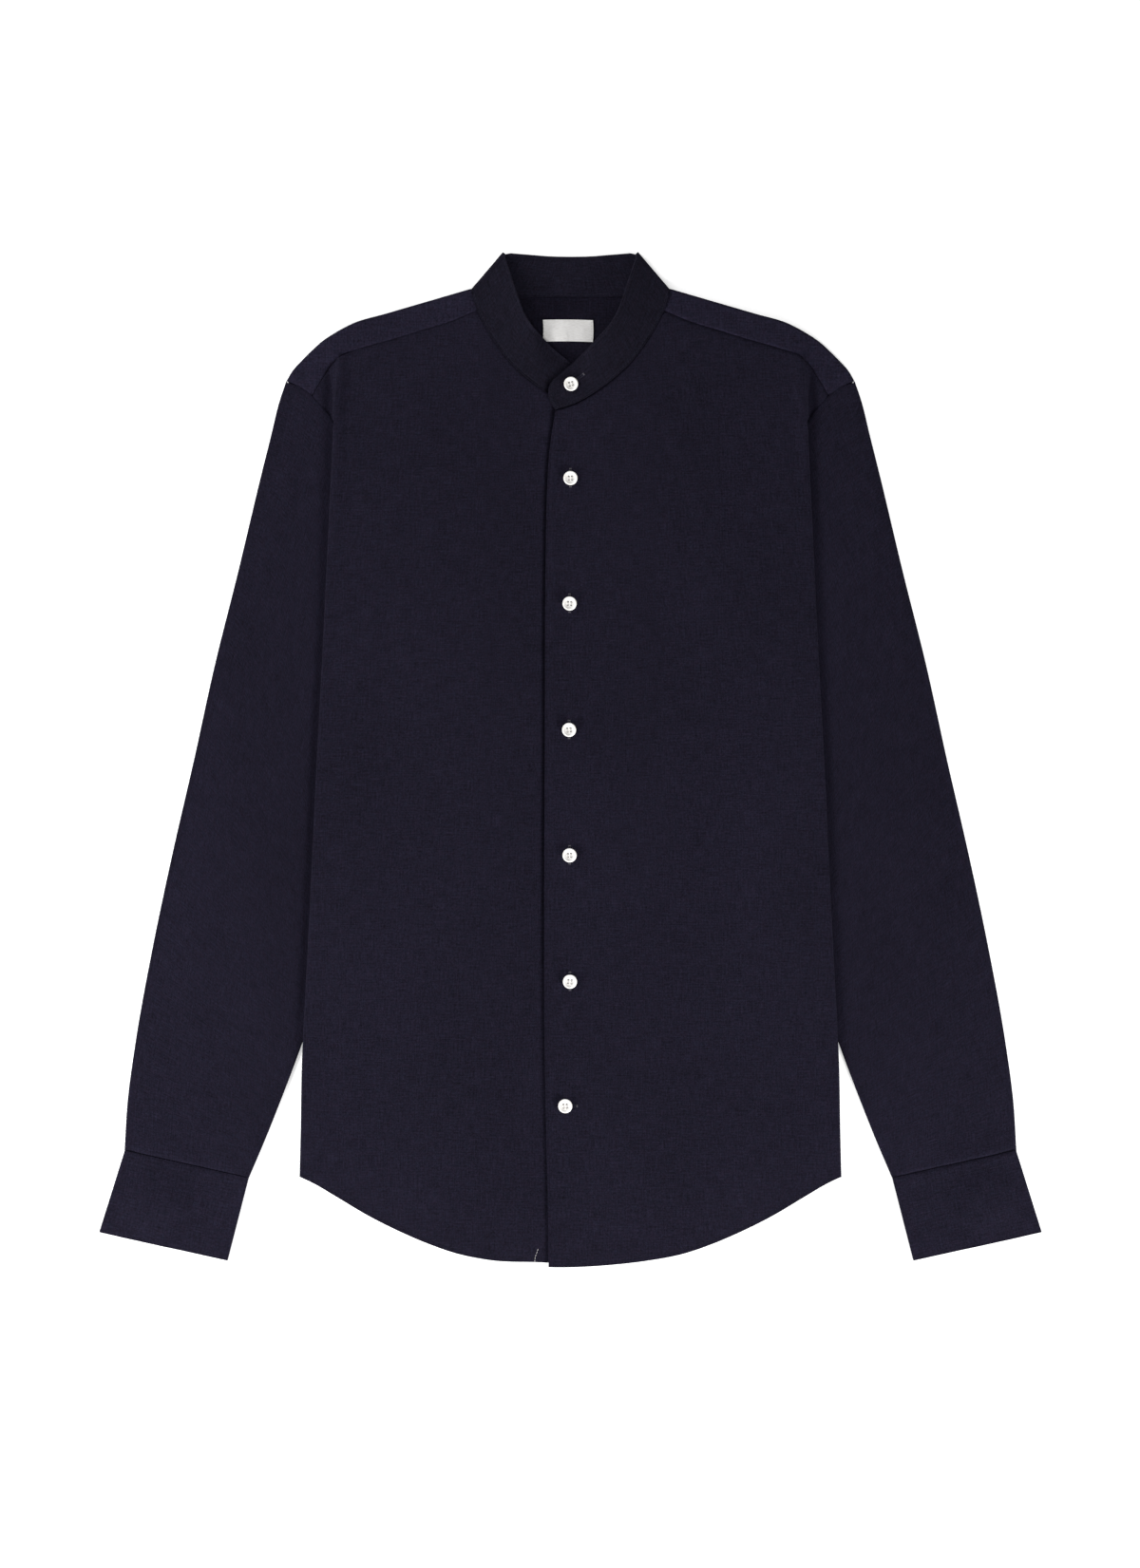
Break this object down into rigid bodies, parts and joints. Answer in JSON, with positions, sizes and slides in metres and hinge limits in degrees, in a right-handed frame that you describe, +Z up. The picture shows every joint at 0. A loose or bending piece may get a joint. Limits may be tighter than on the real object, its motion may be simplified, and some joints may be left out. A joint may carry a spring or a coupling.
{
  "type": "mandarin collar shirt",
  "caption": "Long-sleeved shirt with a band collar and a buttoned front, laid flat on its back with the sleeves turned down behind the body.",
  "frame": {"origin": "middle of the shirt's outline in plan, on the surface that it lies on", "axes": "+Y to the collar, +X to the wearer's left, +Z up from the surface, out of the shirt's front"},
  "size_m": [0.7348, 0.7911, 0.0088],
  "materials": {
    "navy_cloth": "matt fine weave with a faint slub",
    "button": "pearl white, satin",
    "label_tape": "woven satin tape, bare"
  },
  "bodies": {
    "root": {"front_left": "navy_cloth", "front_right": "navy_cloth", "back": "navy_cloth", "yoke": "navy_cloth", "collar": "navy_cloth", "sleeve_left": "navy_cloth", "sleeve_right": "navy_cloth", "cuff_left": "navy_cloth", "cuff_right": "navy_cloth", "button_collar": "button", "button_front_1": "button", "button_front_2": "button", "button_front_3": "button", "button_front_4": "button", "button_front_5": "button", "button_front_6": "button", "button_cuff_left": "button", "button_cuff_right": "button", "label": "label_tape"}
  },
  "joints": []
}
